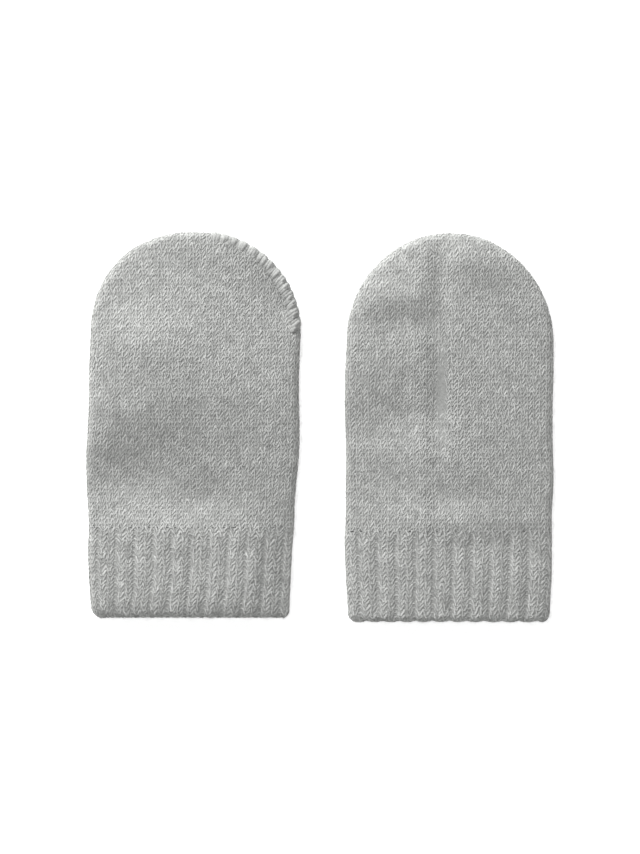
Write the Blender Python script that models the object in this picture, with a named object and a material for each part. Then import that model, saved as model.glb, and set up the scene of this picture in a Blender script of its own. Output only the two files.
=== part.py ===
"""A pair of thumbless knitted baby mittens, laid flat side by side with their backs up.

Each mitten is a soft tube pressed flat: a back panel lies on a palm panel, and below each
panel hangs its own face of the ribbed cuff.  Panels meet at the side folds and round the
crown, and every joined edge keeps a hairline gap.

The sizes are in millimetres.  In a mitten's own frame x runs across, y runs from the
cuff's hem to the fingertips, and z rises from the surface that it lies on.
"""

import math

import bmesh
import bpy

MM = 0.001

# --- the cloth ---------------------------------------------------------------------------
WALL = 1.9  # one knitted layer
SEAM_GAP = 0.3  # between pieces that are knitted or linked together
EDGE_REACH = 2.6  # how far in from a side fold the rounding goes
EDGE_LIP = 0.25  # cloth left upright at the very edge of a panel
SETTLE_REACH = 6.0  # a swell dies out over this distance from a side fold
LEAST_WALL = 1.2  # cloth left under the deepest hollow
MOST_HOLLOW = 3.6  # how far the inside rises under the highest swell

# --- the ribbed cuff ---------------------------------------------------------------------
CUFF_HEIGHT = 27.7
RIB_DEPTH = 0.5  # from a rib's crest down to the valley beside it
RIB_FULLNESS = 0.8  # under 1 the ribs are broad and the valleys narrow
RIB_COLUMNS = (0.0, 0.2, 0.5, 0.8)  # parts of one rib, from the valley's floor
RIB_RUN_OUT = 3.5  # the valleys fill up over this distance below the hand
RIB_SIDE_FADE = 7.0  # and over this distance from a side fold
LEAN_HEIGHT = 18.0  # below this the ribs have slipped sideways, by the lean at the hem
HEM_REACH = 1.9  # rounding of the cast-on edge
HEM_SCALLOP = 0.6  # the ribs' ends reach this far past the valleys' ends
SCALLOP_REACH = 4.0

# --- heights of the layers ---------------------------------------------------------------
PALM_TOP = WALL
BACK_FLOOR = PALM_TOP + SEAM_GAP

# --- how finely the pieces are drawn -----------------------------------------------------
SIDE_STEPS = 15
CROWN_STEPS = 28
EDGE_DEPTHS = (0.0, 0.25, 0.8, 1.6, EDGE_REACH)
HAND_DEPTHS = EDGE_DEPTHS + (4.5, 8.0, 12.0, 16.5, 21.0, 25.0, 29.0)
CUFF_ROWS = (0.0, 0.35, 1.0, HEM_REACH, 3.5, 6.0, 11.0, 16.0, 20.5, CUFF_HEIGHT - RIB_RUN_OUT)
PLAIN_COLUMNS = (-18.0, -6.0, 6.0, 18.0)
LEAST_STEP = 0.9  # between the rounded sides and the first column of a rib
WELD = 0.0001

KNIT_COLOUR = (0.386, 0.392, 0.381, 1.0)
KNIT_ROUGHNESS = 0.95

# sides: height above the hem, left edge, right edge; the last row is the crown's start
# swells: middle x, middle y, half length, half width, turn in degrees, rise
LEFT_MITTEN = {
    "name": "left",
    "place": (-39.1, -58.2),
    "length": 118.3,
    "crown_powers": (2.2, 2.06),
    "corners": (3.7, 2.2),
    "rib_pitch": 5.64,
    "rib_shift": 0.0,
    "lean": -2.4,
    "sides": (
        (0.0, -31.2, 30.1),
        (6.0, -31.5, 30.4),
        (13.0, -32.0, 30.7),
        (20.5, -32.2, 31.1),
        (28.0, -32.0, 31.7),
        (35.0, -32.3, 31.9),
        (40.0, -32.6, 32.3),
        (50.0, -32.8, 33.2),
        (57.0, -32.4, 33.4),
        (67.0, -32.0, 33.2),
        (77.0, -31.9, 33.3),
        (86.3, -31.4, 33.7),
    ),
    "swells": (
        (0.0, 46.0, 60.0, 32.0, 90.0, 2.3),
        (-13.0, 83.0, 15.0, 11.5, 0.0, 2.5),
        (4.0, 71.0, 26.0, 14.0, -12.0, 1.1),
        (-15.0, 65.0, 16.0, 9.0, 0.0, 1.4),
        (-17.0, 42.0, 17.0, 11.0, 0.0, -2.6),
        (2.0, 35.8, 12.0, 6.8, 4.0, -1.2),
        (28.5, 96.0, 13.0, 6.0, -50.0, -1.6),
        (0.0, 25.5, 40.0, 5.0, 0.0, 0.3),
        (-4.0, 5.5, 32.0, 14.0, 0.0, 1.0),
        (18.0, 12.0, 17.0, 10.0, 90.0, 1.1),
        (32.0, 14.0, 22.0, 8.0, 92.0, -2.2),
        (0.0, -1.5, 36.0, 3.5, 0.0, -0.8),
    ),
}

RIGHT_MITTEN = {
    "name": "right",
    "place": (39.6, -59.5),
    "length": 119.3,
    "crown_powers": (2.0, 2.0),
    "corners": (2.4, 3.0),
    "rib_pitch": 5.73,
    "rib_shift": 1.1,
    "lean": -0.8,
    "sides": (
        (0.0, -31.4, 31.0),
        (6.0, -31.8, 31.2),
        (13.5, -32.2, 31.6),
        (23.5, -32.6, 31.7),
        (33.0, -32.4, 31.7),
        (43.0, -32.4, 32.2),
        (53.0, -32.3, 32.0),
        (62.5, -32.6, 31.9),
        (77.0, -32.5, 32.2),
        (85.4, -32.1, 32.2),
    ),
    "swells": (
        (0.0, 60.0, 58.0, 30.0, 90.0, 2.0),
        (-12.0, 105.0, 15.0, 9.0, 0.0, 0.9),
        (-16.0, 98.0, 12.0, 5.5, 0.0, 1.4),
        (-12.0, 84.0, 9.0, 6.5, 0.0, 0.7),
        (-17.0, 61.0, 16.0, 9.5, 6.0, -2.0),
        (-17.0, 43.0, 14.0, 8.0, 0.0, -1.2),
        (0.0, 37.0, 9.0, 6.5, 0.0, -1.0),
        (10.0, 31.5, 19.0, 3.6, -2.0, 0.5),
        (4.0, 22.5, 34.0, 5.5, 0.0, -0.35),
        (-16.0, 23.0, 14.0, 9.0, 0.0, 0.7),
        (-5.0, 4.0, 32.0, 18.0, 0.0, 1.1),
        (-8.5, 104.0, 12.0, 3.2, 90.0, 0.3),
        (-2.8, 105.0, 12.0, 3.4, 88.0, -1.1),
        (-8.5, 72.0, 16.0, 3.2, 90.0, 0.4),
        (-2.5, 70.0, 16.0, 3.6, 88.0, -0.6),
        (-7.5, 42.0, 28.0, 2.4, 90.0, 0.3),
        (6.0, 109.5, 12.0, 5.0, -8.0, 1.0),
    ),
}


# --- the flat outline --------------------------------------------------------------------
def smooth_row(table, height):
    """The table's other columns at a height, on a soft curve through its rows."""
    last = len(table) - 1
    at = 0
    while at < last - 1 and table[at + 1][0] < height:
        at += 1
    before, low, high, after = (table[min(max(at + k, 0), last)] for k in (-1, 0, 1, 2))
    span = high[0] - low[0]
    part = min(max((height - low[0]) / span, 0.0), 1.0)
    columns = []
    for column in range(1, len(low)):
        rise = high[column] - low[column]
        slope_low = (high[column] - before[column]) / (high[0] - before[0]) * span
        slope_high = (after[column] - low[column]) / (after[0] - low[0]) * span
        turn = 3.0 * rise - 2.0 * slope_low - slope_high
        bend = slope_low + slope_high - 2.0 * rise
        columns.append(low[column] + part * (slope_low + part * (turn + part * bend)))
    return columns


def middle_and_half(mitten, height):
    """Where the mitten's middle lies at a height, and how far its sides are from it."""
    left, right = smooth_row(mitten["sides"], height)
    return (left + right) / 2.0, (right - left) / 2.0


def crown_point(mitten, angle):
    """A point on the crown's edge, and the middle of the line where the crown starts."""
    spring = mitten["sides"][-1][0]
    middle, half = middle_and_half(mitten, spring)
    power = 2.0 / mitten["crown_powers"][0 if math.cos(angle) < 0.0 else 1]
    across = math.copysign(abs(math.cos(angle)) ** power, math.cos(angle))
    up = abs(math.sin(angle)) ** power
    edge = (middle + half * across, spring + (mitten["length"] - spring) * up)
    return edge, (middle, spring)


def hand_stations(mitten):
    """Pairs of an edge point and the point inside it, up one side, over and down again."""
    bottom = CUFF_HEIGHT + SEAM_GAP / 2.0
    spring = mitten["sides"][-1][0]
    heights = [bottom + (spring - bottom) * k / SIDE_STEPS for k in range(SIDE_STEPS)]
    left, right = [], []
    for height in heights:
        middle, half = middle_and_half(mitten, height)
        left.append(((middle - half, height), (middle, height)))
        right.append(((middle + half, height), (middle, height)))
    turns = [math.pi * (1.0 - k / CROWN_STEPS) for k in range(CROWN_STEPS + 1)]
    return left + [crown_point(mitten, turn) for turn in turns] + right[::-1]


# --- heights of the cloth ----------------------------------------------------------------
def quarter_round(depth, reach):
    """0 at an edge, rising on a quarter circle to 1 at its reach."""
    short = 1.0 - min(depth / reach, 1.0)
    return math.sqrt(1.0 - short * short)


def swelling(mitten, x, y):
    """How far the soft swells lift the back there, less the hollows between them."""
    total = 0.0
    for middle_x, middle_y, half_length, half_width, turn, rise in mitten["swells"]:
        angle = math.radians(turn)
        along = (x - middle_x) * math.cos(angle) + (y - middle_y) * math.sin(angle)
        aside = (y - middle_y) * math.cos(angle) - (x - middle_x) * math.sin(angle)
        total += rise * math.exp(-((along / half_length) ** 2) - (aside / half_width) ** 2)
    return total


def rib(mitten, x):
    """0 on a valley's floor between two ribs and 1 on a rib's crest."""
    part = (x - mitten["rib_shift"]) / mitten["rib_pitch"]
    return abs(math.sin(math.pi * part)) ** RIB_FULLNESS


def back_heights(lift, sunk, rounding, hem_rounding):
    """Outer and inner height of the upper cloth, which is lifted and in places sunk."""
    inner = BACK_FLOOR + min(max(lift, 0.0), MOST_HOLLOW) * hem_rounding
    top = max(BACK_FLOOR + WALL + lift - sunk, inner + LEAST_WALL)
    lip = BACK_FLOOR + EDGE_LIP
    return lip + (top - lip) * rounding, inner


def back_hand_heights(mitten, x, y, depth):
    """Outer and inner height of the back panel."""
    lift = swelling(mitten, x, y) * quarter_round(depth, SETTLE_REACH)
    return back_heights(lift, 0.0, quarter_round(depth, EDGE_REACH), 1.0)


def palm_hand_heights(mitten, x, y, depth):
    """Outer and inner height of the palm panel, which lies flat."""
    return (PALM_TOP - EDGE_LIP) * (1.0 - quarter_round(depth, EDGE_REACH)), PALM_TOP


def back_cuff_heights(mitten, x, y, depth, crest):
    """Outer and inner height of the cuff's ribbed upper face."""
    hem_rounding = quarter_round(y, HEM_REACH)
    lift = swelling(mitten, x, y) * quarter_round(depth, SETTLE_REACH)
    ribbed = min((CUFF_HEIGHT - y) / RIB_RUN_OUT, 1.0) * min(depth / RIB_SIDE_FADE, 1.0)
    sunk = RIB_DEPTH * (1.0 - crest) * ribbed
    return back_heights(lift, sunk, quarter_round(depth, EDGE_REACH) * hem_rounding, hem_rounding)


def palm_cuff_heights(mitten, x, y, depth, crest):
    """Outer and inner height of the cuff's lower face, which lies flat."""
    rounding = quarter_round(depth, EDGE_REACH) * quarter_round(y, HEM_REACH)
    return (PALM_TOP - EDGE_LIP) * (1.0 - rounding), PALM_TOP


# --- grids of points ---------------------------------------------------------------------
def hand_points(mitten, heights):
    """Rows of outer and inner points, one row for each station, from the edge inwards."""
    outer, inner = [], []
    for edge, inside in hand_stations(mitten):
        reach = math.dist(edge, inside)
        parts = [depth / reach for depth in HAND_DEPTHS] + [1.0]
        outer.append([])
        inner.append([])
        for part in parts:
            x = edge[0] + (inside[0] - edge[0]) * part
            y = edge[1] + (inside[1] - edge[1]) * part
            high, low = heights(mitten, x, y, part * reach)
            outer[-1].append((x, y, high))
            inner[-1].append((x, y, low))
    return outer, inner


def rib_columns(mitten, half):
    """Places across the cuff that draw every rib, as far as the rounded sides."""
    first = math.floor(-half / mitten["rib_pitch"])
    last = math.ceil(half / mitten["rib_pitch"])
    places = [
        (count + part) * mitten["rib_pitch"] + mitten["rib_shift"]
        for count in range(first, last + 1)
        for part in RIB_COLUMNS
    ]
    return [place for place in places if abs(place) < half - EDGE_REACH - LEAST_STEP]


def corner_cut(radius, y):
    """How far a rounded lower corner draws the side in at a height."""
    short = max(radius - y, 0.0)
    return radius - math.sqrt(radius * radius - short * short)


def cuff_points(mitten, heights, columns):
    """Rows of outer and inner points across the cuff, from the hem up."""
    ribbed = columns is not PLAIN_COLUMNS
    outer, inner = [], []
    for y in CUFF_ROWS + (CUFF_HEIGHT - SEAM_GAP / 2.0,):
        left, right = smooth_row(mitten["sides"], y)
        left += corner_cut(mitten["corners"][0], y)
        right -= corner_cut(mitten["corners"][1], y)
        middle, half = (left + right) / 2.0, (right - left) / 2.0
        squeeze = half / middle_and_half(mitten, CUFF_HEIGHT / 2.0)[1]
        slip = mitten["lean"] * max(1.0 - y / LEAN_HEIGHT, 0.0) ** 2
        places = [(depth - half) / squeeze for depth in EDGE_DEPTHS]
        places += list(columns)
        places += [(half - depth) / squeeze for depth in reversed(EDGE_DEPTHS)]
        outer.append([])
        inner.append([])
        for place in places:
            off = place * squeeze
            depth = half - abs(off)
            x = middle + off
            if depth > EDGE_REACH + LEAST_STEP / 2.0:
                x += slip * (1.0 - (off / half) ** 2)
            crest = rib(mitten, place)
            high, low = heights(mitten, x, y, depth, crest)
            scallop = HEM_SCALLOP * crest if ribbed else 0.0
            droop = scallop * max(1.0 - y / SCALLOP_REACH, 0.0)
            outer[-1].append((x, y - droop, high))
            inner[-1].append((x, y - droop, low))
    return outer, inner


# --- solids ------------------------------------------------------------------------------
def quads(bm, lower, upper):
    """Faces between two rows of corners."""
    for a, b, c, d in zip(lower, lower[1:], upper[1:], upper):
        bm.faces.new((a, b, c, d))


def cloth_object(name, outer, inner, open_end, material):
    """One closed wall of cloth between its outer and its inner points.

    A hand panel's rows run in to the middle line, where its two halves are merged, so it
    has no edge there; open_end says that the rows' far ends are an edge of their own.
    """
    bm = bmesh.new()
    sheets = []
    for points in (outer, inner):
        rows = [[bm.verts.new([value * MM for value in p]) for p in row] for row in points]
        for lower, upper in zip(rows, rows[1:]):
            quads(bm, lower, upper)
        sheets.append(rows)
    outer_rows, inner_rows = sheets
    quads(bm, outer_rows[0], inner_rows[0])
    quads(bm, outer_rows[-1], inner_rows[-1])
    quads(bm, [row[0] for row in outer_rows], [row[0] for row in inner_rows])
    if open_end:
        quads(bm, [row[-1] for row in outer_rows], [row[-1] for row in inner_rows])
    bmesh.ops.remove_doubles(bm, verts=bm.verts, dist=WELD * MM)
    bmesh.ops.recalc_face_normals(bm, faces=bm.faces)
    mesh = bpy.data.meshes.new(name)
    bm.to_mesh(mesh)
    bm.free()
    mesh.shade_smooth()
    mesh.set_sharp_from_angle(angle=math.radians(50.0))
    mesh.materials.append(material)
    piece = bpy.data.objects.new(name, mesh)
    bpy.context.scene.collection.objects.link(piece)
    return piece


def knit_material(name):
    """Grey melange wool, matt and soft."""
    material = bpy.data.materials.new(name)
    material.use_nodes = True
    shader = material.node_tree.nodes["Principled BSDF"]
    shader.inputs["Base Color"].default_value = KNIT_COLOUR
    shader.inputs["Roughness"].default_value = KNIT_ROUGHNESS
    shader.inputs["Metallic"].default_value = 0.0
    return material


def build_mitten(mitten):
    """The four pieces of one mitten, carried by an empty at the middle of its hem."""
    stand = bpy.data.objects.new(mitten["name"] + "_mitten", None)
    bpy.context.scene.collection.objects.link(stand)
    stand.location = (mitten["place"][0] * MM, mitten["place"][1] * MM, 0.0)
    ribs = rib_columns(mitten, middle_and_half(mitten, CUFF_HEIGHT / 2.0)[1])
    pieces = (
        ("back_hand", hand_points(mitten, back_hand_heights), False),
        ("back_cuff", cuff_points(mitten, back_cuff_heights, ribs), True),
        ("palm_hand", hand_points(mitten, palm_hand_heights), False),
        ("palm_cuff", cuff_points(mitten, palm_cuff_heights, PLAIN_COLUMNS), True),
    )
    for kind, (outer, inner), open_end in pieces:
        name = mitten["name"] + "_" + kind
        piece = cloth_object(name, outer, inner, open_end, knit_material(name + "_knit"))
        piece.parent = stand


def clear_scene():
    for old in list(bpy.data.objects):
        bpy.data.objects.remove(old, do_unlink=True)


clear_scene()
build_mitten(LEFT_MITTEN)
build_mitten(RIGHT_MITTEN)
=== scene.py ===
import math

import bmesh
import bpy
import numpy as np
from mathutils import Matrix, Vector


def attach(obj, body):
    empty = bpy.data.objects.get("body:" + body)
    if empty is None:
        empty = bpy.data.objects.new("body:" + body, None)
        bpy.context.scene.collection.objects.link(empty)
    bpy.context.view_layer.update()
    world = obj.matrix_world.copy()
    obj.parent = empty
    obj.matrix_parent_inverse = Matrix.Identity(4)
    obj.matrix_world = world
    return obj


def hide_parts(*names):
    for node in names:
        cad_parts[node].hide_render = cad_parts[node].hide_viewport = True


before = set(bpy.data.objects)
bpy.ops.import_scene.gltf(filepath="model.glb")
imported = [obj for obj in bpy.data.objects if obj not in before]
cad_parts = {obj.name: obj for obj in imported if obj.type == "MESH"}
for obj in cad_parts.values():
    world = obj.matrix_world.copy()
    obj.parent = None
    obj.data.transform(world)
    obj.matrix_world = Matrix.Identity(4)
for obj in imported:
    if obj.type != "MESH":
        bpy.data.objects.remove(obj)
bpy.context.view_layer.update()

# ---------------------------------------------------------------------------------------
# The jersey of the hands, back and palm.
# Each mitten is one tube of grey melange wool, knitted from the cuff up on 69 stitches
# and pressed flat, so 34.5 lie on each face, and closed round the crown without a thumb.
# These shells are the cloth behind the stitches. All sizes are millimetres, in each
# mitten's own frame: x across, y from the hem to the fingertips, z up from the floor.
# ---------------------------------------------------------------------------------------
MM = 0.001
WALES_PER_FACE = 34.5
COURSE = 1.33
WALL = 1.9
SEAM_GAP = 0.3  # between two pieces, and between the faces where they lie plain
MID_HEIGHT = WALL + SEAM_GAP / 2  # of the outermost line of a fold
FOLD_REACH = 2.6  # how far in from that line a side is rounded
SETTLE_REACH = 6.0  # the swells die away over this last stretch to an edge
CUFF_HEIGHT = 27.7
HEM_REACH = 1.9
HEM_SCALLOP = 0.6  # how far a rib's crest hangs below its valleys at the hem
SCALLOP_REACH = 4.0
LEAN_HEIGHT = 18.0  # below it the ribs have slipped sideways
WALES_PER_RIB = 3
RIB_DEPTH = 0.5
RIB_FULLNESS = 0.8  # under 1 the crests are broad and the valleys narrow
RIB_RUN_OUT = 3.5
RIB_SIDE_FADE = 7.0
YARN_DEPTH = 0.45  # from the crests of the stitches down to the cloth behind them
BACK, PALM = 1, -1

# sides: height above the hem, left edge, right edge; the last row is the crown's start
# swells: middle x, middle y, half length, half width, turn in degrees, rise
# lean: how far the ribs have slipped sideways at the hem
MITTENS = (
    {
        "name": "left",
        "place": (-39.1, -58.2),
        "length": 118.3,
        "crown_powers": (2.2, 2.06),
        "corners": (3.7, 2.2),
        "first_wale": 0.0,
        "lean": -2.4,
        "sides": (
            (0.0, -31.2, 30.1),
            (6.0, -31.5, 30.4),
            (13.0, -32.0, 30.7),
            (20.5, -32.2, 31.1),
            (28.0, -32.0, 31.7),
            (35.0, -32.3, 31.9),
            (40.0, -32.6, 32.3),
            (50.0, -32.8, 33.2),
            (57.0, -32.4, 33.4),
            (67.0, -32.0, 33.2),
            (77.0, -31.9, 33.3),
            (86.3, -31.4, 33.7),
        ),
        "swells": (
            (0.0, 46.0, 60.0, 32.0, 90.0, 2.3),
            (-13.0, 83.0, 15.0, 11.5, 0.0, 2.5),
            (4.0, 71.0, 26.0, 14.0, -12.0, 1.1),
            (-15.0, 65.0, 16.0, 9.0, 0.0, 1.4),
            (-17.0, 42.0, 17.0, 11.0, 0.0, -2.6),
            (2.0, 35.8, 12.0, 6.8, 4.0, -1.2),
            (28.5, 96.0, 13.0, 6.0, -50.0, -1.6),
            (0.0, 25.5, 40.0, 5.0, 0.0, 0.3),
            (-4.0, 5.5, 32.0, 14.0, 0.0, 1.0),
            (18.0, 12.0, 17.0, 10.0, 90.0, 1.1),
            (32.0, 14.0, 22.0, 8.0, 92.0, -2.2),
            (0.0, -1.5, 36.0, 3.5, 0.0, -0.8),
        ),
    },
    {
        "name": "right",
        "place": (39.6, -59.5),
        "length": 119.3,
        "crown_powers": (2.0, 2.0),
        "corners": (2.4, 3.0),
        "first_wale": 0.58,
        "lean": -0.8,
        "sides": (
            (0.0, -31.4, 31.0),
            (6.0, -31.8, 31.2),
            (13.5, -32.2, 31.6),
            (23.5, -32.6, 31.7),
            (33.0, -32.4, 31.7),
            (43.0, -32.4, 32.2),
            (53.0, -32.3, 32.0),
            (62.5, -32.6, 31.9),
            (77.0, -32.5, 32.2),
            (85.4, -32.1, 32.2),
        ),
        "swells": (
            (0.0, 60.0, 58.0, 30.0, 90.0, 2.0),
            (-12.0, 105.0, 15.0, 9.0, 0.0, 0.9),
            (-16.0, 98.0, 12.0, 5.5, 0.0, 1.4),
            (-12.0, 84.0, 9.0, 6.5, 0.0, 0.7),
            (-17.0, 61.0, 16.0, 9.5, 6.0, -2.0),
            (-17.0, 43.0, 14.0, 8.0, 0.0, -1.2),
            (0.0, 37.0, 9.0, 6.5, 0.0, -1.0),
            (10.0, 31.5, 19.0, 3.6, -2.0, 0.5),
            (4.0, 22.5, 34.0, 5.5, 0.0, -0.35),
            (-16.0, 23.0, 14.0, 9.0, 0.0, 0.7),
            (-5.0, 4.0, 32.0, 18.0, 0.0, 1.1),
            (-8.5, 104.0, 12.0, 3.2, 90.0, 0.3),
            (-2.8, 105.0, 12.0, 3.4, 88.0, -1.1),
            (-8.5, 72.0, 16.0, 3.2, 90.0, 0.4),
            (-2.5, 70.0, 16.0, 3.6, 88.0, -0.6),
            (-7.5, 42.0, 28.0, 2.4, 90.0, 0.3),
            (6.0, 109.5, 12.0, 5.0, -8.0, 1.0),
        ),
    },
)

TURNS = np.radians(np.linspace(180.0, 0.0, 721))


def edge_arcs(reach):
    """Distance over a rounded edge, from its outermost line, for each of TURNS."""
    rate = np.hypot(reach * np.cos(TURNS), MID_HEIGHT * np.sin(TURNS))
    run = np.concatenate([[0.0], np.cumsum((rate[1:] + rate[:-1]) / 2 * -np.diff(TURNS))])
    return run - run[len(run) // 2]


FOLD_ARCS = edge_arcs(FOLD_REACH)
HEM_ARCS = edge_arcs(HEM_REACH)
FOLD_EXTRA = FOLD_ARCS[-1] - FOLD_REACH
HEM_EXTRA = HEM_ARCS[-1] - HEM_REACH


def over_edge(arc, reach, arcs):
    """Depth in from a rounded edge's outermost line, and how far the cloth has turned."""
    turn = np.interp(arc, arcs, TURNS)
    flat = arc - (arcs[-1] - reach)
    return np.where(arc < arcs[-1], reach * (1 - np.sin(turn)), flat), turn


def smooth_rows(table, heights):
    """The table's other columns at the given heights, on soft curves through its rows."""
    rows = np.array(table)
    slopes = np.gradient(rows, rows[:, 0], axis=0)
    heights = np.clip(heights, rows[0, 0], rows[-1, 0])
    low = np.clip(np.searchsorted(rows[:, 0], heights, side="right") - 1, 0, len(rows) - 2)
    span = (rows[low + 1, 0] - rows[low, 0])[..., None]
    part = (heights - rows[low, 0])[..., None] / span
    ends = rows[low, 1:] * (1 + 2 * part) * (1 - part) ** 2
    ends = ends + rows[low + 1, 1:] * (3 - 2 * part) * part**2
    turns = slopes[low, 1:] * part * (1 - part) ** 2
    turns = turns + slopes[low + 1, 1:] * (part - 1) * part**2
    return ends + span * turns


def quarter_round(depth, reach):
    """0 at an edge, rising on a quarter circle to 1 at its reach."""
    return np.sqrt(1 - (1 - np.clip(depth / reach, 0.0, 1.0)) ** 2)


def middle_and_half(mitten, y):
    """Where the mitten's middle lies at the given heights, and how far its sides are."""
    edges = smooth_rows(mitten["sides"], y)
    cuts = [radius * (1 - quarter_round(y, radius)) for radius in mitten["corners"]]
    left, right = edges[..., 0] + cuts[0], edges[..., 1] - cuts[1]
    return (left + right) / 2, (right - left) / 2


def edge_distance(mitten, across, y):
    """How far the outermost line is, towards a point, from the middle line at its height or,
    in the crown, from the middle of the crown's base."""
    spring = mitten["sides"][-1][0]
    half = middle_and_half(mitten, np.minimum(y, spring))[1]
    up = np.maximum(y - spring, 0.0)
    away = np.maximum(np.hypot(across, up), 1e-6)
    power = np.where(across < 0, *mitten["crown_powers"])
    bulge = (np.abs(across) / away / half) ** power
    bulge = bulge + (up / away / (mitten["length"] - spring)) ** power
    return np.where(up > 0, np.maximum(bulge, 1e-9) ** (-1 / power), half)


def swelling(mitten, x, y):
    """How far the soft swells lift the back there, less the hollows between them."""
    total = np.zeros_like(x)
    for middle_x, middle_y, half_length, half_width, turn, rise in mitten["swells"]:
        angle = math.radians(turn)
        along = (x - middle_x) * math.cos(angle) + (y - middle_y) * math.sin(angle)
        aside = (y - middle_y) * math.cos(angle) - (x - middle_x) * math.sin(angle)
        total += rise * np.exp(-((along / half_length) ** 2) - (aside / half_width) ** 2)
    return total


def purl_wale(mitten, side):
    """Where one wale of the cuff that sinks between two ribs runs on that face."""
    return mitten["first_wale"] + (0.0 if side == BACK else WALES_PER_RIB / 2)


def rib_crest(mitten, side, wales):
    """0 on a valley's floor between two ribs and 1 on a rib's crest."""
    part = (wales - purl_wale(mitten, side)) / WALES_PER_RIB
    return np.abs(np.sin(np.pi * part)) ** RIB_FULLNESS


def blocked(mitten, side, wales, rows):
    """Where the crests of the flat cloth lie once it is pressed into the mitten's form.

    wales are counted from the middle of a face, rows are millimetres above the hem.
    """
    spring = mitten["sides"][-1][0]
    y, hem_turn = over_edge(rows + HEM_EXTRA, HEM_REACH, HEM_ARCS)
    middle, half = middle_and_half(mitten, np.minimum(y, spring))
    across = side * wales * (half + FOLD_EXTRA) / (WALES_PER_FACE / 2)
    up = np.maximum(y - spring, 0.0)
    away = np.maximum(np.hypot(across, up), 1e-6)
    edge = edge_distance(mitten, across, y)
    depth, turn = over_edge(edge + FOLD_EXTRA - away, FOLD_REACH, FOLD_ARCS)
    kept = (edge - depth) / away
    slip = mitten["lean"] * np.clip(1 - y / LEAN_HEIGHT, 0.0, 1.0) ** 2
    x = middle + across * kept + slip * (1 - np.clip(across / half, -1.0, 1.0) ** 2)
    y = np.where(up > 0, spring + up * kept, y)

    crest = rib_crest(mitten, side, wales)
    ribbed = np.clip((CUFF_HEIGHT - y) / RIB_RUN_OUT, 0.0, 1.0)
    ribbed = ribbed * np.clip(depth / RIB_SIDE_FADE, 0.0, 1.0)
    top = 2 * MID_HEIGHT - RIB_DEPTH * (1 - crest) * ribbed
    if side == BACK:
        top = top + swelling(mitten, x, y) * quarter_round(depth, SETTLE_REACH)
    z = MID_HEIGHT + side * (top - MID_HEIGHT) * np.cos(turn) * np.cos(hem_turn)
    y = y - HEM_SCALLOP * crest * np.clip(1 - y / SCALLOP_REACH, 0.0, 1.0)
    return np.stack([x, y, z], axis=-1)


def cloth_at(mitten, side, wales, rows, height):
    """A point that far above the cloth behind the stitches, in the mitten's frame."""
    step = 0.02
    place = blocked(mitten, side, wales, rows)
    by_wale = blocked(mitten, side, wales + step, rows)
    by_wale = by_wale - blocked(mitten, side, wales - step, rows)
    by_row = blocked(mitten, side, wales, rows + step)
    by_row = by_row - blocked(mitten, side, wales, rows - step)
    outward = np.cross(by_wale, by_row)
    outward /= np.maximum(np.linalg.norm(outward, axis=-1, keepdims=True), 1e-12)
    return place + outward * (height - YARN_DEPTH)[..., None]


def new_object(name, data):
    made = bpy.data.objects.new(name, data)
    bpy.context.scene.collection.objects.link(made)
    return made


def in_pair(mitten, points):
    """Points in a mitten's frame moved to where it lies in the pair, in metres."""
    return (points + np.array([*mitten["place"], 0.0])) * MM


def linear(hex_colour):
    """An sRGB hex colour as linear red, green, blue and alpha."""
    parts = [int(hex_colour[k : k + 2], 16) / 255 for k in (1, 3, 5)]
    return [p / 12.92 if p < 0.04045 else ((p + 0.055) / 1.055) ** 2.4 for p in parts] + [1.0]


def node(tree, kind, settings=None, **links):
    """Adds a node, sets its properties and sockets, and links sockets from other nodes."""
    made = tree.nodes.new(kind)
    for key, value in (settings or {}).items():
        setattr(made, key, value)
    for key, value in links.items():
        name = key.replace("_", " ").strip()
        if name.rsplit(" ", 1)[-1].isdigit():
            socket = made.inputs[int(name.rsplit(" ", 1)[-1])]
        else:
            socket = made.inputs[name]
        if isinstance(value, bpy.types.NodeSocket):
            tree.links.new(value, socket)
        elif isinstance(value, bpy.types.Node):
            tree.links.new(value.outputs[0], socket)
        else:
            socket.default_value = value
    return made


FLECK_CONTRAST, FLECK_BASE = 1.2, 0.4
CLOUD_CONTRAST = 0.44


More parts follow.
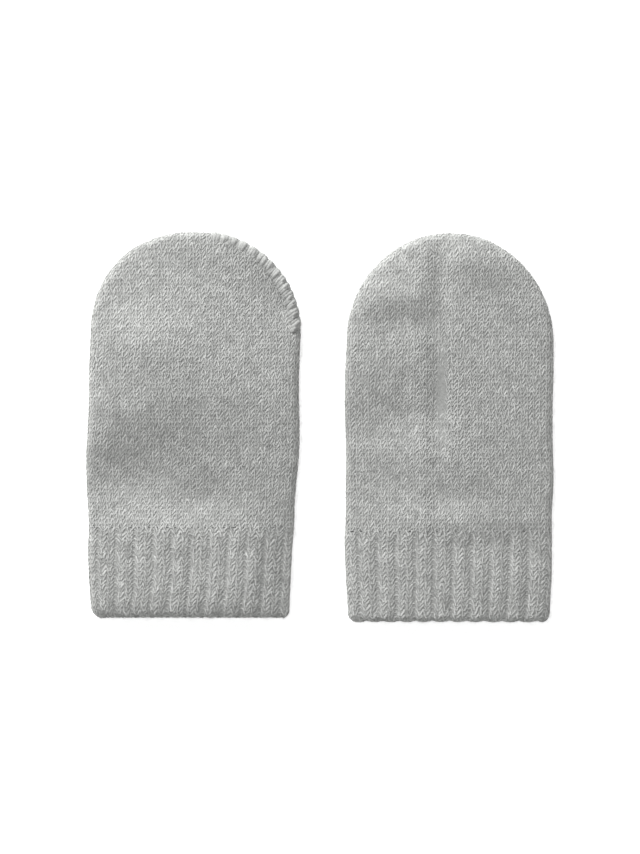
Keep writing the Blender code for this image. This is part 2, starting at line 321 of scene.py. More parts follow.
def wool_material(name, colour, stitch_tone):
    """Carded wool yarn: matt, softly lit at grazing angles by its own fuzz, and flecked,
    because white and charcoal fibres are blended before it is spun."""
    material = bpy.data.materials.new(name)
    material.use_nodes = True
    tree = material.node_tree
    shader = tree.nodes["Principled BSDF"]
    place = node(tree, "ShaderNodeTexCoord").outputs["Object"]
    in_mm = node(tree, "ShaderNodeMapping", {"vector_type": "POINT"}, Vector=place,
                 Scale=(1 / MM, 1 / MM, 1 / MM)).outputs[0]
    # a fibre is 0.02 mm thick; the flecks that many make together are up to 0.8 mm across
    flecks = node(tree, "ShaderNodeTexNoise", {"noise_dimensions": "3D"}, Vector=in_mm,
                  Scale=1.3, Detail=4.0, Roughness=0.8).outputs[0]
    clouds = node(tree, "ShaderNodeTexNoise", {"noise_dimensions": "3D"}, Vector=in_mm,
                  Scale=0.35, Detail=3.0, Roughness=0.6).outputs[0]
    # each stitch's tone differs at random, and for purls, rib stitches and the seam's strands it
    # also carries painted shade and painted light
    tone = node(tree, "ShaderNodeAttribute", {"attribute_name": "tone"}).outputs["Fac"]
    tone = node(tree, "ShaderNodeMath", {"operation": "MULTIPLY_ADD"}, in_0=tone,
                in_1=stitch_tone, in_2=-stitch_tone / 2).outputs[0]
    fleck = node(tree, "ShaderNodeMath", {"operation": "MULTIPLY_ADD"}, in_0=flecks,
                 in_1=FLECK_CONTRAST, in_2=FLECK_BASE).outputs[0]
    cloud = node(tree, "ShaderNodeMath", {"operation": "MULTIPLY_ADD"}, in_0=clouds,
                 in_1=CLOUD_CONTRAST, in_2=-CLOUD_CONTRAST / 2).outputs[0]
    light = node(tree, "ShaderNodeMath", {"operation": "ADD"}, in_0=fleck, in_1=cloud).outputs[0]
    light = node(tree, "ShaderNodeMath", {"operation": "ADD"}, in_0=light, in_1=tone).outputs[0]
    # a Mix node's colours are its sockets 6 and 7, and the colour that it makes is its third
    mixed = node(tree, "ShaderNodeMix", {"data_type": "RGBA", "blend_type": "MULTIPLY"})
    mixed.inputs["Factor"].default_value = 1.0
    mixed.inputs[6].default_value = linear(colour)
    tree.links.new(light, mixed.inputs[7])
    tree.links.new(mixed.outputs[2], shader.inputs["Base Color"])
    shader.inputs["Roughness"].default_value = 0.92
    shader.inputs["Specular IOR Level"].default_value = 0.2
    shader.inputs["Sheen Weight"].default_value = 0.10
    shader.inputs["Sheen Roughness"].default_value = 0.5
    shader.inputs["Sheen Tint"].default_value = linear("#d9d9d6")
    return material


# painted shade: the wool behind the stitches gets a darker colour than the stitches' own, to stand
# for the shade in the gaps between them
BACKING_IN_PAINTED_SHADE = wool_material("knitted_wool_behind_the_stitches", "#9fa09e", stitch_tone=0.0)
EDGE_START = 0.45  # the shells begin this far over a rounded edge, just clear of the other face
NET_DEPTHS = (EDGE_START, 0.8, 1.2, 1.7, 2.2, 2.8, 3.7, 5.0, 6.5,
              8.0, 10.0, 12.0, 14.0, 16.5, 19.0, 22.0, 25.0, 29.0)
FOLD_DEPTHS = 6  # so many of them lie over a rounded side
HEM_DEPTHS = (EDGE_START, 0.8, 1.3, 1.8, 2.3, HEM_ARCS[-1], 3.6, 5.5)
SIDE_STEPS = 30
CROWN_STEPS = 52
CUFF_STEPS_FROM, CUFF_STEPS = 6.0, 15
POINTS_PER_WALE = 4
BACKING_HEIGHT = -0.12  # the shells lie this far under the feet of the stitches
SAME_PLACE = 0.002
SHARP_ANGLE = math.radians(60.0)


def hand_net(mitten):
    """The flat points of a hand panel: a row in from each point of its edge, up one side,
    over the crown and down the other."""
    spring = mitten["sides"][-1][0]
    bottom = CUFF_HEIGHT + SEAM_GAP / 2
    low = np.linspace(bottom, spring, SIDE_STEPS, endpoint=False)
    over = np.linspace(math.pi, 0.0, CROWN_STEPS + 1)
    row = np.concatenate([low, np.full(len(over), spring), low[::-1]])
    turn = np.concatenate([np.full(len(low), math.pi), over, np.zeros(len(low))])
    half = middle_and_half(mitten, row)[1]
    reach = edge_distance(mitten, np.cos(turn), row + np.sin(turn)) + FOLD_EXTRA
    depths = np.concatenate([np.tile(NET_DEPTHS, (len(row), 1)), reach[:, None]], axis=1)
    out = reach[:, None] - depths
    wales = out * np.cos(turn)[:, None] / (half + FOLD_EXTRA)[:, None] * WALES_PER_FACE / 2
    return wales, row[:, None] + out * np.sin(turn)[:, None]


def cuff_net(mitten):
    """The flat points of one face of the cuff, in rows across it from the hem up."""
    half = middle_and_half(mitten, np.array(CUFF_HEIGHT / 2))[1] + FOLD_EXTRA
    edge = np.array(NET_DEPTHS[:FOLD_DEPTHS]) / half
    between = np.linspace(-1.0, 1.0, POINTS_PER_WALE * int(WALES_PER_FACE) - 1)
    between = between[np.abs(between) < 1 - NET_DEPTHS[FOLD_DEPTHS] / half]
    parts = np.concatenate([edge - 1, between, (1 - edge)[::-1]])
    plain = np.linspace(CUFF_STEPS_FROM, CUFF_HEIGHT - SEAM_GAP / 2, CUFF_STEPS)
    rows = np.concatenate([np.array(HEM_DEPTHS) - HEM_EXTRA, plain])
    return np.meshgrid(parts * WALES_PER_FACE / 2, rows)


def shell(name, mitten, side, net, material):
    """One panel's wall of cloth, from the backing of its stitches to its plain inside."""
    wales, rows = net
    outer = cloth_at(mitten, side, wales, rows, np.full_like(wales, BACKING_HEIGHT))
    lift = 0.0
    if side == BACK:
        lift = np.maximum(outer[..., 2] - (2 * MID_HEIGHT - YARN_DEPTH), 0.0)
    inner = outer.copy()
    inner[..., 2] = MID_HEIGHT + side * (SEAM_GAP / 2 + lift)
    faces = []

    def quads(grid):
        corners = (grid[:-1, :-1], grid[:-1, 1:], grid[1:, 1:], grid[1:, :-1])
        faces.extend(np.stack([c.ravel() for c in corners], axis=-1).tolist())

    above = np.arange(wales.size).reshape(wales.shape)
    below = above + wales.size
    quads(above)
    quads(below)
    quads(np.stack([above[0], below[0]]))
    quads(np.stack([above[-1], below[-1]]))
    quads(np.stack([above[:, 0], below[:, 0]]))
    # a cuff's rows end at its far side, and a hand's in its middle, where no wall is needed
    if wales[0, -1] > 0:
        quads(np.stack([above[:, -1], below[:, -1]]))
    mesh = bpy.data.meshes.new(name)
    points = np.concatenate([outer.reshape(-1, 3), inner.reshape(-1, 3)])
    mesh.from_pydata(in_pair(mitten, points).tolist(), [], faces)
    bm = bmesh.new()
    bm.from_mesh(mesh)
    bmesh.ops.remove_doubles(bm, verts=bm.verts, dist=SAME_PLACE * MM)
    bmesh.ops.recalc_face_normals(bm, faces=bm.faces)
    bm.to_mesh(mesh)
    bm.free()
    mesh.shade_smooth()
    mesh.set_sharp_from_angle(angle=SHARP_ANGLE)
    mesh.materials.append(material)
    return new_object(name, mesh)


FACES = ((PALM, "palm"), (BACK, "back"))
for mitten in MITTENS:
    for side, face in FACES:
        for part, net in (("hand", hand_net(mitten)), ("cuff", cuff_net(mitten))):
            stem = mitten["name"] + "_" + face + "_" + part
            piece = shell(stem + "_cloth", mitten, side, net, BACKING_IN_PAINTED_SHADE)
            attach(piece, "root")
            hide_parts(stem)

# ---------------------------------------------------------------------------------------
# The knit stitches.
# Every stitch is two legs of soft carded yarn that rise out of the stitch below and lean
# apart. In the cuff each third wale is purled, so it sinks and shows only its cross bars.
# ---------------------------------------------------------------------------------------
WALE = 1.93
YARN_RADIUS = 0.216
YARN_DETAIL = {BACK: (3, 5), PALM: (2, 4)}  # points along a leg, and round it


def stitch_tree():
    """A tree that works a knit stitch on each point, or a purl bar where the point says so."""
    tree = bpy.data.node_groups.new("knit_stitches", "GeometryNodeTree")
    face = tree.interface
    face.new_socket("Geometry", in_out="INPUT", socket_type="NodeSocketGeometry")
    for name, value in (
        ("Wale Width", WALE),
        ("Course Height", COURSE),
        ("Yarn Radius", YARN_RADIUS),
        ("Unevenness", 0.12),
        ("Flatness", 0.075),  # the part of a leg's rise that pressing leaves
    ):
        face.new_socket(name, in_out="INPUT", socket_type="NodeSocketFloat").default_value = value
    wander = face.new_socket("Wander", in_out="INPUT", socket_type="NodeSocketVector")
    wander.default_value = (1.0, 1.0, 0.2)
    for name, value in (("Bends", 3), ("Sides", 5), ("Seed", 0)):
        face.new_socket(name, in_out="INPUT", socket_type="NodeSocketInt").default_value = value
    face.new_socket("Yarn", in_out="INPUT", socket_type="NodeSocketMaterial")
    face.new_socket("Geometry", in_out="OUTPUT", socket_type="NodeSocketGeometry")
    given = node(tree, "NodeGroupInput").outputs

    size = node(tree, "ShaderNodeCombineXYZ", X=given["Wale Width"], Y=given["Course Height"],
                Z=1.0)
    ring = node(tree, "GeometryNodeCurvePrimitiveCircle", {"mode": "RADIUS"},
                Resolution=given["Sides"], Radius=given["Yarn Radius"])

    def strand(points):
        """A strand of yarn on a curve given in wales across, courses up and mm proud."""
        ends = [
            node(tree, "ShaderNodeVectorMath", {"operation": "MULTIPLY"}, in_0=size, in_1=point)
            for point in points
        ]
        path = node(tree, "GeometryNodeCurvePrimitiveBezierSegment", {"mode": "POSITION"},
                    Resolution=given["Bends"], Start=ends[0], Start_Handle=ends[1],
                    End_Handle=ends[2], End=ends[3])
        return node(tree, "GeometryNodeCurveToMesh", {}, Curve=path, Profile_Curve=ring,
                    Fill_Caps=True)

    # the twist of the yarn sets one leg more upright than the other
    knit = node(tree, "GeometryNodeJoinGeometry")
    for leg in (
        ((0.09, -0.15, -0.25), (0.10, 0.22, 0.60), (0.42, 0.50, 0.60), (0.43, 0.95, -0.40)),
        ((-0.12, -0.22, -0.25), (-0.12, 0.22, 0.60), (-0.38, 0.58, 0.58), (-0.41, 1.02, -0.40)),
    ):
        tree.links.new(strand(leg).outputs[0], knit.inputs[0])
    bar = ((-0.55, 0.00, -0.60), (-0.25, 0.40, 0.00), (0.25, 0.40, 0.00), (0.55, 0.00, -0.60))
    bar = strand(bar)

    purled = node(tree, "GeometryNodeInputNamedAttribute", {"data_type": "BOOLEAN"}, Name="purled")
    plain = node(tree, "FunctionNodeBooleanMath", {"operation": "NOT"}, in_0=purled.outputs[0])
    loose = given["Unevenness"]
    tight = node(tree, "ShaderNodeMath", {"operation": "MULTIPLY"}, in_0=loose, in_1=-1.0)
    turned = node(tree, "FunctionNodeRandomValue", {"data_type": "FLOAT"}, Seed=given["Seed"])
    tree.links.new(tight.outputs[0], turned.inputs[2])
    tree.links.new(loose, turned.inputs[3])
    turned = node(tree, "ShaderNodeCombineXYZ", Z=turned.outputs[1])
    turned = node(tree, "FunctionNodeEulerToRotation", {}, Euler=turned)
    bigger = node(tree, "ShaderNodeMath", {"operation": "ADD"}, in_0=loose, in_1=1.0)
    smaller = node(tree, "ShaderNodeMath", {"operation": "SUBTRACT"}, in_0=1.0, in_1=loose)
    later = node(tree, "ShaderNodeMath", {"operation": "ADD"}, in_0=given["Seed"], in_1=1.0)
    grown = node(tree, "FunctionNodeRandomValue", {"data_type": "FLOAT"}, Seed=later)
    tree.links.new(smaller.outputs[0], grown.inputs[2])
    tree.links.new(bigger.outputs[0], grown.inputs[3])
    thick = node(tree, "ShaderNodeMath", {"operation": "MULTIPLY"}, in_0=grown.outputs[1],
                 in_1=given["Flatness"])
    grown = node(tree, "ShaderNodeCombineXYZ", X=grown.outputs[1], Y=grown.outputs[1], Z=thick)
    both = node(tree, "GeometryNodeJoinGeometry")
    for shape, chosen in ((knit, plain), (bar, purled)):
        placed = node(tree, "GeometryNodeInstanceOnPoints", {}, Points=given["Geometry"],
                      Selection=chosen.outputs[0], Instance=shape, Rotation=turned,
                      Scale=grown)
        tree.links.new(placed.outputs[0], both.inputs[0])
    done = node(tree, "GeometryNodeRealizeInstances", {}, Geometry=both)
    # carded yarn is never even, so every strand wanders and swells a little
    wander = node(tree, "ShaderNodeTexNoise", {"noise_dimensions": "3D"}, Scale=0.55, Detail=1.0)
    wander = node(tree, "ShaderNodeVectorMath", {"operation": "SUBTRACT"},
                  in_0=wander.outputs["Color"], in_1=(0.5, 0.5, 0.5))
    wander = node(tree, "ShaderNodeVectorMath", {"operation": "MULTIPLY"}, in_0=wander,
                  in_1=given["Wander"])
    done = node(tree, "GeometryNodeSetPosition", {}, Geometry=done, Offset=wander)
    done = node(tree, "GeometryNodeSetShadeSmooth", {"domain": "FACE"}, Geometry=done)
    done = node(tree, "GeometryNodeSetMaterial", {}, Geometry=done, Material=given["Yarn"])
    node(tree, "NodeGroupOutput", {}, Geometry=done)
    return tree


STITCHES = stitch_tree()
WOOL = wool_material("grey_melange_carded_wool", "#b6b7b5", stitch_tone=0.28)


def worked(name, points, attributes, tree, **inputs):
    """The plain mesh that a tree makes on loose points, with the modifier taken off."""
    mesh = bpy.data.meshes.new(name + "_points")
    mesh.from_pydata(points.tolist(), [], [])
    for key, kind, values in attributes:
        mesh.attributes.new(key, kind, "POINT").data.foreach_set("value", values)
    seed_bed = new_object(name + "_points", mesh)
    modifier = seed_bed.modifiers.new("work", "NODES")
    modifier.node_group = tree
    for item in tree.interface.items_tree:
        if item.in_out == "INPUT" and item.name.replace(" ", "_") in inputs:
            modifier[item.identifier] = inputs[item.name.replace(" ", "_")]
    seed_bed.update_tag()
    depsgraph = bpy.context.evaluated_depsgraph_get()
    made = bpy.data.meshes.new_from_object(seed_bed.evaluated_get(depsgraph))
    made.name = name
    bpy.data.objects.remove(seed_bed)
    bpy.data.meshes.remove(mesh)
    return made


PURL_SHARE = 0.3  # a purl wale's width beside its share, as the knit wales close over it


def drawn_in(mitten, side, wales):
    """Wales of the cuff with the purled ones drawn narrow and the knit ones spread."""
    phase = purl_wale(mitten, side)
    part = np.mod(wales - phase + 0.5, WALES_PER_RIB)
    wide = (WALES_PER_RIB - PURL_SHARE) / (WALES_PER_RIB - 1)
    shifted = np.where(part < 1, (part - 0.5) * PURL_SHARE, (part - 2) * wide + 1.5)
    return wales - part + 0.5 + shifted


# how far the wales wander, and the millimetres up and wales across to a radian of it
SLOW_DRIFT = (0.10, 6.1, 7.3)
QUICK_DRIFT = (0.07, 2.9, -3.1)


def drift(mitten, wales, rows):
    """How unevenly the wales run, in wales: a hand-fed machine and washing leave this."""
    free = 1 - np.clip(np.abs(wales) / (WALES_PER_FACE / 2), 0.0, 1.0) ** 4
    waves = 0.0
    for start, (reach, up, across) in (
        (mitten["first_wale"] * 5, SLOW_DRIFT),
        (1.3, QUICK_DRIFT),
    ):
        waves = waves + reach * np.sin(rows / up + wales / across + start)
    return free * waves


def stitch_points(mitten, side, first_row, last_row):
    """The flat places of a face's stitches, as wales and rows, and which are a rib's purls."""
    phase = purl_wale(mitten, side)
    first = math.ceil(-WALES_PER_FACE / 2 - phase)
    last = math.floor(WALES_PER_FACE / 2 - phase)
    wales, courses = np.meshgrid(np.arange(first, last + 1), np.arange(first_row, last_row))
    purled = (wales % WALES_PER_RIB == 0).ravel()
    wales, rows = (wales + phase).ravel(), courses.ravel() * COURSE
    return wales, rows, purled


def crown_arc(mitten, side, wales, rows):
    """Distance from the crown's outermost line in to a flat point of that face."""
    spring = mitten["sides"][-1][0]
    half = middle_and_half(mitten, np.array(spring))[1]
    across = side * wales * (half + FOLD_EXTRA) / (WALES_PER_FACE / 2)
    up = np.maximum(rows - spring, 0.0)
    edge = edge_distance(mitten, across, np.maximum(rows, spring))
    return edge + FOLD_EXTRA - np.hypot(across, up)


STITCH_JITTER = (0.08, 0.08, 0.02)
CROWN_MARGIN = {BACK: 0.0, PALM: 0.5}  # from the crown's outermost line in
PURL_TONE_IN_PAINTED_SHADE = 0.3  # painted shade: the purls' tone is cut down, as they lie deep between the ribs where shade falls
RIB_PAINTED_LIGHT = 0.12  # painted light: a rib's stitches are made lighter, since stretched flatter than the jersey's they catch more light


def knitting(name, mitten, side, first_row, last_row, seed):
    """All the stitches of one panel, worked flat and then pressed into the form."""
    random = np.random.default_rng(seed)
    ribbed = first_row < CUFF_COURSES
    wales, rows, purled = stitch_points(mitten, side, first_row, last_row)
    inside = crown_arc(mitten, side, wales, rows + COURSE / 2) > CROWN_MARGIN[side]
    wales, rows, purled = wales[inside], rows[inside], purled[inside] & ribbed
    points = np.stack([wales * WALE, rows, np.zeros_like(rows)], axis=-1)
    points += random.normal(0.0, STITCH_JITTER, points.shape)
    # painted shade on the purls: their random tone is cut down
    tone = random.random(len(rows)) * np.where(purled, PURL_TONE_IN_PAINTED_SHADE, 1.0)
    # painted light on the rib stitches: their tone is raised
    tone = (tone + (RIB_PAINTED_LIGHT if ribbed else 0.0)).astype(np.float32)
    bends, sides = YARN_DETAIL[side]
    made = worked(
        name,
        points,
        (("purled", "BOOLEAN", purled), ("tone", "FLOAT", tone)),
        STITCHES,
        Bends=bends,
        Sides=sides,
        Seed=seed,
        Yarn=WOOL,
    )
    return pressed(made, mitten, side, ribbed)


def pressed(made, mitten, side, ribbed):
    """A mesh that was worked flat, in millimetres, pressed onto the mitten's form."""
    flat = np.empty(len(made.vertices) * 3)
    made.vertices.foreach_get("co", flat)
    flat = flat.reshape(-1, 3).astype(float)
    wales, rows, height = flat[:, 0] / WALE, flat[:, 1], flat[:, 2]
    if ribbed:
        wales = drawn_in(mitten, side, wales)
    wales = wales + drift(mitten, wales, rows)
    placed = in_pair(mitten, cloth_at(mitten, side, wales, rows, height))
    placed[:, 2] = np.maximum(placed[:, 2], 0.0)  # the floor presses yarn and fibres flat
    made.vertices.foreach_set("co", placed.ravel())
    made.update()
    return new_object(made.name, made)


HEM_COURSE, CUFF_COURSES, TOP_COURSE = -1, 21, 90  # the hem's lies in the cloth's turn
PARTS = (("hand", CUFF_COURSES, TOP_COURSE), ("cuff", HEM_COURSE, CUFF_COURSES))
dressing = {}
for mitten in MITTENS:
    for side, face in FACES:
        for part, first_row, last_row in PARTS:
            stem = mitten["name"] + "_" + face + "_" + part
            seed = 10 * len(stem) + first_row + side
            piece = knitting(stem + "_stitches", mitten, side, first_row, last_row, seed)
            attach(piece, "root")
            dressing[stem] = [piece]

# ---------------------------------------------------------------------------------------
# The crown's linked seam.
# On the left mitten the crown is closed from outside, on its right-hand side: the linking
# yarn is drawn over the edge in slanting strands and gathers the cloth into soft lumps.
# ---------------------------------------------------------------------------------------
SEAM_REACH = 2.7
SEAM_PITCH = 0.7  # from one strand to the next
SEAM_LUMP = 3.1  # the cloth bulges this often between the strands that are drawn tight
SEAM_FROM, SEAM_TO = 80.0, 4.0  # degrees round the crown from the right-hand side
SEAM_SLANT = math.radians(50.0)
SLANT_SHARE = 0.55  # 0 leaves the strands square to the edge, 1 lays all of them at the slant
SEAM_JITTER, SLANT_JITTER = 0.07, 0.08
LUMP_DRIFT, LUMP_DRIFT_RUN = 0.8, 4.7
SEAM_INSET, LUMP_OUT = 1.05, 0.35  # a tight strand lies this far in, and a lump's less
SEAM_SINK, LUMP_LIFT = 0.3, 0.25  # and this far below the outermost line
# the seam strands' tone differs at random; all of them are darkened as painted shade, and the
# lumps lightened as painted light
SEAM_TONES, SEAM_PAINTED_SHADE, LUMP_PAINTED_LIGHT = 0.6, 0.65, 0.2


def loop_tree():
    """A tree that lays one strand over an edge at each point, turned by its "turn"."""
    tree = bpy.data.node_groups.new("strands_over_an_edge", "GeometryNodeTree")
    face = tree.interface
    face.new_socket("Geometry", in_out="INPUT", socket_type="NodeSocketGeometry")
    for name, value in (
        ("Reach", SEAM_REACH),
        ("Rise", 1.2),
        ("Yarn Radius", 0.85),
        ("Unevenness", 0.04),
    ):
        face.new_socket(name, in_out="INPUT", socket_type="NodeSocketFloat").default_value = value
    face.new_socket("Seed", in_out="INPUT", socket_type="NodeSocketInt")
    face.new_socket("Yarn", in_out="INPUT", socket_type="NodeSocketMaterial")
    face.new_socket("Geometry", in_out="OUTPUT", socket_type="NodeSocketGeometry")
    given = node(tree, "NodeGroupInput").outputs
    size = node(tree, "ShaderNodeCombineXYZ", X=1.0, Y=given["Reach"], Z=given["Rise"])
    ends = [
        node(tree, "ShaderNodeVectorMath", {"operation": "MULTIPLY"}, in_0=size, in_1=point)
        for point in ((0.3, -1.0, 0.75), (0.1, -0.8, 1.6), (-0.1, 0.2, 1.3), (-0.3, -0.1, -0.2))
    ]
    path = node(tree, "GeometryNodeCurvePrimitiveBezierSegment", {"mode": "POSITION"},
                Resolution=6, Start=ends[0], Start_Handle=ends[1], End_Handle=ends[2],
                End=ends[3])
    ring = node(tree, "GeometryNodeCurvePrimitiveCircle", {"mode": "RADIUS"}, Resolution=6,
                Radius=given["Yarn Radius"])
    strand = node(tree, "GeometryNodeCurveToMesh", {}, Curve=path, Profile_Curve=ring,
                  Fill_Caps=True)
    turn = node(tree, "GeometryNodeInputNamedAttribute", {"data_type": "FLOAT"}, Name="turn")
    turn = node(tree, "ShaderNodeCombineXYZ", Z=turn)
    turn = node(tree, "FunctionNodeEulerToRotation", {}, Euler=turn)
    bigger = node(tree, "ShaderNodeMath", {"operation": "ADD"}, in_0=given["Unevenness"], in_1=1.0)
    smaller = node(tree, "ShaderNodeMath", {"operation": "SUBTRACT"}, in_0=1.0,
                   in_1=given["Unevenness"])
    grown = node(tree, "FunctionNodeRandomValue", {"data_type": "FLOAT"}, Seed=given["Seed"])
    tree.links.new(smaller.outputs[0], grown.inputs[2])
    tree.links.new(bigger.outputs[0], grown.inputs[3])
    done = node(tree, "GeometryNodeInstanceOnPoints", {}, Points=given["Geometry"],
                Instance=strand, Rotation=turn, Scale=grown.outputs[1])
    done = node(tree, "GeometryNodeRealizeInstances", {}, Geometry=done)
    done = node(tree, "GeometryNodeSetShadeSmooth", {"domain": "FACE"}, Geometry=done)
    done = node(tree, "GeometryNodeSetMaterial", {}, Geometry=done, Material=given["Yarn"])
    node(tree, "NodeGroupOutput", {}, Geometry=done)
    return tree


left = MITTENS[0]
random = np.random.default_rng(5)
angles = np.radians(np.linspace(SEAM_FROM, SEAM_TO, 400))
spring = left["sides"][-1][0]
reach = edge_distance(left, np.cos(angles), spring + np.sin(angles))
middle = middle_and_half(left, np.array(spring))[0]
line = np.stack([middle + reach * np.cos(angles), spring + reach * np.sin(angles)], axis=-1)
run = np.concatenate([[0.0], np.cumsum(np.hypot(*np.diff(line, axis=0).T))])
stops = np.arange(SEAM_PITCH / 2, run[-1], SEAM_PITCH)
stops = stops + random.normal(0.0, SEAM_JITTER, len(stops))
lumps = math.pi * stops / SEAM_LUMP + LUMP_DRIFT * np.sin(stops / LUMP_DRIFT_RUN)
fullness = np.abs(np.sin(lumps))
edge_x, edge_y = np.interp(stops, run, line[:, 0]), np.interp(stops, run, line[:, 1])
facing = np.arctan2(np.gradient(-line[:, 0]), np.gradient(line[:, 1])) + math.pi
facing = np.interp(stops, run, facing)
inward = SEAM_INSET - LUMP_OUT * fullness
places = np.stack([edge_x - inward * np.cos(facing), edge_y - inward * np.sin(facing),
                   MID_HEIGHT - SEAM_SINK + LUMP_LIFT * fullness], axis=-1)
turns = facing + SLANT_SHARE * (SEAM_SLANT - facing) - math.pi / 2
turns = turns + random.normal(0.0, SLANT_JITTER, len(stops))
# random tone, less a painted shade, plus painted light on the lumps
tone = random.random(len(stops)) * SEAM_TONES - SEAM_PAINTED_SHADE + LUMP_PAINTED_LIGHT * fullness
made = worked(
    "left_crown_seam",
    places,
    (("turn", "FLOAT", turns.astype(np.float32)), ("tone", "FLOAT", tone.astype(np.float32))),
    loop_tree(),
    Yarn=WOOL,
)
flat = np.empty(len(made.vertices) * 3)
made.vertices.foreach_get("co", flat)
made.vertices.foreach_set("co", in_pair(left, flat.reshape(-1, 3)).ravel())
made.update()
piece = new_object("left_crown_seam", made)
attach(piece, "root")
dressing["left_back_hand"].append(piece)

# ---------------------------------------------------------------------------------------
# The fuzz.
# Carded wool sheds its fibre ends: white and charcoal ones lie loose over the stitches,
# a millimetre or two long, and soften every edge of the cloth.
# ---------------------------------------------------------------------------------------
# in parts of a fibre's length: up to four times as coarse as the real ones, so that they show
FIBRE_RADIUS = 0.015


def fuzz_tree():
    """A tree that lays one bent fibre, drawn to a point at both ends, on each point."""
    tree = bpy.data.node_groups.new("loose_fibres", "GeometryNodeTree")
    face = tree.interface
    face.new_socket("Geometry", in_out="INPUT", socket_type="NodeSocketGeometry")
    for name, value in (
        ("Fibre Radius", FIBRE_RADIUS),
        ("Least Length", 0.9),
        ("Most Length", 2.6),
        ("Lift", 0.45),
    ):
        face.new_socket(name, in_out="INPUT", socket_type="NodeSocketFloat").default_value = value
    face.new_socket("Seed", in_out="INPUT", socket_type="NodeSocketInt")
    face.new_socket("Wool", in_out="INPUT", socket_type="NodeSocketMaterial")
    face.new_socket("Geometry", in_out="OUTPUT", socket_type="NodeSocketGeometry")
    given = node(tree, "NodeGroupInput").outputs
    along = node(tree, "GeometryNodeSplineParameter").outputs["Factor"]
    wave = node(tree, "ShaderNodeMath", {"operation": "MULTIPLY"}, in_0=along, in_1=math.pi)
    wave = node(tree, "ShaderNodeMath", {"operation": "SINE"}, in_0=wave)
    girth = node(tree, "ShaderNodeMath", {"operation": "MULTIPLY"}, in_0=wave,
                 in_1=given["Fibre Radius"])
    path = node(tree, "GeometryNodeCurvePrimitiveBezierSegment", {"mode": "POSITION"},
                Resolution=6, Start=(-0.5, 0.0, 0.0), Start_Handle=(-0.2, 0.3, 0.0),
                End_Handle=(0.2, 0.3, 0.0), End=(0.5, 0.0, 0.0))
    # the girth is read at a curve's own points, so the path gets some between its ends
    path = node(tree, "GeometryNodeResampleCurve", {"mode": "COUNT"}, Curve=path, Count=4)
    ring = node(tree, "GeometryNodeCurvePrimitiveCircle", {"mode": "RADIUS"}, Resolution=3,
                Radius=1.0)
    fibre = node(tree, "GeometryNodeCurveToMesh", {}, Curve=path, Profile_Curve=ring, Scale=girth)
    fibre = node(tree, "GeometryNodeMergeByDistance", {}, Geometry=fibre, Distance=0.002)
    lift = given["Lift"]
    droop = node(tree, "ShaderNodeMath", {"operation": "MULTIPLY"}, in_0=lift, in_1=-1.0)
    lowest = node(tree, "ShaderNodeCombineXYZ", X=-math.pi, Y=droop, Z=-math.pi)
    highest = node(tree, "ShaderNodeCombineXYZ", X=math.pi, Y=lift, Z=math.pi)
    turn = node(tree, "FunctionNodeRandomValue", {"data_type": "FLOAT_VECTOR"}, Min=lowest,
                Max=highest, Seed=given["Seed"])
    turn = node(tree, "FunctionNodeEulerToRotation", {}, Euler=turn)
    later = node(tree, "ShaderNodeMath", {"operation": "ADD"}, in_0=given["Seed"], in_1=1.0)
    length = node(tree, "FunctionNodeRandomValue", {"data_type": "FLOAT"}, Seed=later)
    tree.links.new(given["Least Length"], length.inputs[2])
    tree.links.new(given["Most Length"], length.inputs[3])
    done = node(tree, "GeometryNodeInstanceOnPoints", {}, Points=given["Geometry"],
                Instance=fibre, Rotation=turn, Scale=length.outputs[1])
    done = node(tree, "GeometryNodeRealizeInstances", {}, Geometry=done)
    done = node(tree, "GeometryNodeSetShadeSmooth", {"domain": "FACE"}, Geometry=done)
    done = node(tree, "GeometryNodeSetMaterial", {}, Geometry=done, Material=given["Wool"])
    node(tree, "NodeGroupOutput", {}, Geometry=done)
    return tree


FUZZ = fuzz_tree()
FIBRES = wool_material("loose_white_and_charcoal_fibres", "#b6b7b5", stitch_tone=0.6)
FIBRES_PER_SQUARE_MM = {BACK: 0.8, PALM: 0.25}
FIBRE_HEIGHTS = (0.30, 0.75)
FIBRE_MARGIN = 0.1  # from the outermost line in


def fuzz(stem, mitten, side, low, high, seed):
    """The loose fibres of one panel, laid flat and then pressed into the form."""
    random = np.random.default_rng(31 * len(stem) + side)
    count = int(FIBRES_PER_SQUARE_MM[side] * WALES_PER_FACE * WALE * (high - low))
    wales = random.uniform(-WALES_PER_FACE / 2, WALES_PER_FACE / 2, count)
    rows = random.uniform(low, high, count)
    inside = crown_arc(mitten, side, wales, rows) > FIBRE_MARGIN
    wales, rows = wales[inside], rows[inside]
    height = random.uniform(*FIBRE_HEIGHTS, len(rows))
    made = worked(
        stem + "_fuzz",
        np.stack([wales * WALE, rows, height], axis=-1),
        (("tone", "FLOAT", random.random(len(rows)).astype(np.float32)),),
        FUZZ,
        Seed=seed,
        Wool=FIBRES,
    )
    return pressed(made, mitten, side, False)


for mitten in MITTENS:
    for side, face in FACES:
        for part, first_row, last_row in PARTS:
            stem = mitten["name"] + "_" + face + "_" + part
            low, high = 0.0, CUFF_HEIGHT
            if part == "hand":
                low, high = CUFF_HEIGHT, mitten["length"] + 1
            piece = fuzz(stem, mitten, side, low, high, first_row + side + 3)
            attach(piece, "root")
            dressing[stem].append(piece)

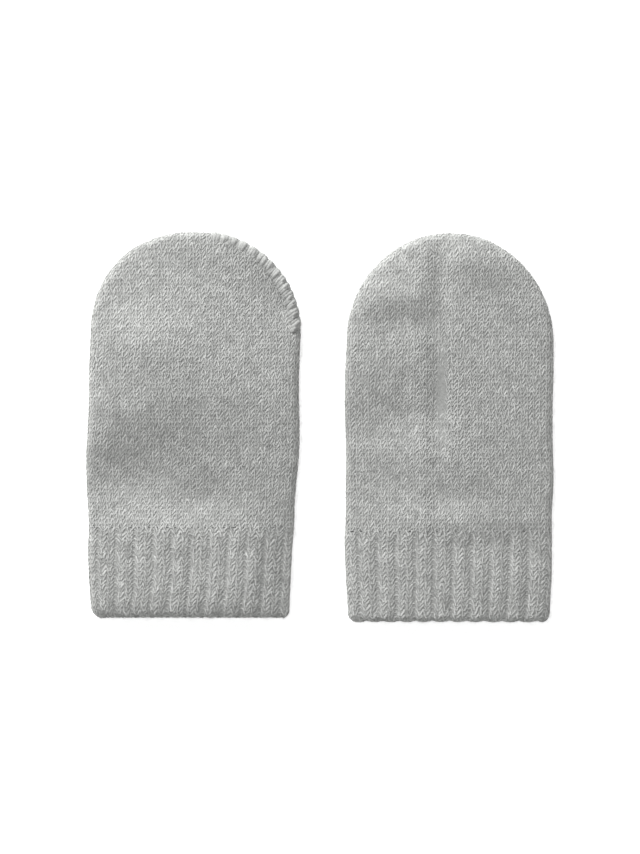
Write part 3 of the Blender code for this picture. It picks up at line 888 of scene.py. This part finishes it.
# ---------------------------------------------------------------------------------------
# The surface that the mittens lie on, the light and the view from straight above.
# ---------------------------------------------------------------------------------------
FLOOR_SIZE = 1200.0
FLOOR_CLEARANCE = 0.15  # keeps the paper clear of the yarn that is pressed flat on it
floor_mesh = bpy.data.meshes.new("floor")
half, low = FLOOR_SIZE / 2 * MM, -FLOOR_CLEARANCE * MM
floor_mesh.from_pydata(
    [(-half, -half, low), (half, -half, low), (half, half, low), (-half, half, low)],
    [],
    [(0, 1, 2, 3)],
)
floor = new_object("floor", floor_mesh)
paper = bpy.data.materials.new("white_seamless_paper")
paper.use_nodes = True
paper_shader = paper.node_tree.nodes["Principled BSDF"]
paper_shader.inputs["Base Color"].default_value = linear("#fbfbfb")
paper_shader.inputs["Roughness"].default_value = 1.0
paper_shader.inputs["Specular IOR Level"].default_value = 0.0
paper_shader.inputs["Emission Color"].default_value = (1.0, 1.0, 1.0, 1.0)
paper_shader.inputs["Emission Strength"].default_value = 0.5
floor_mesh.materials.append(paper)


def soft_box(name, place, size, power):
    """A square studio lamp that faces the middle of the pair."""
    lamp = bpy.data.lights.new(name, "AREA")
    lamp.shape = "SQUARE"
    lamp.size = size
    lamp.energy = power
    made = new_object(name, lamp)
    made.location = place
    made.rotation_euler = Vector(place).to_track_quat("Z", "Y").to_euler()
    return made


soft_box("key_light", (-0.52, 0.96, 0.42), size=0.7, power=26.0)
soft_box("overhead_fill", (0.1, -0.1, 1.6), size=1.2, power=7.4)

world = bpy.context.scene.world or bpy.data.worlds.new("studio")
bpy.context.scene.world = world
world.use_nodes = True
world.node_tree.nodes["Background"].inputs["Color"].default_value = (1.0, 1.0, 1.0, 1.0)
world.node_tree.nodes["Background"].inputs["Strength"].default_value = 0.28
bpy.context.scene.view_settings.view_transform = "Standard"

VIEW_DISTANCE = 0.980
camera_data = bpy.data.cameras.new("camera")
camera_data.lens = 135.0
camera_data.sensor_width = 36.0
camera_data.clip_start = 0.05
camera = new_object("camera", camera_data)
camera.location = (0.0, 0.0, VIEW_DISTANCE)
bpy.context.scene.camera = camera
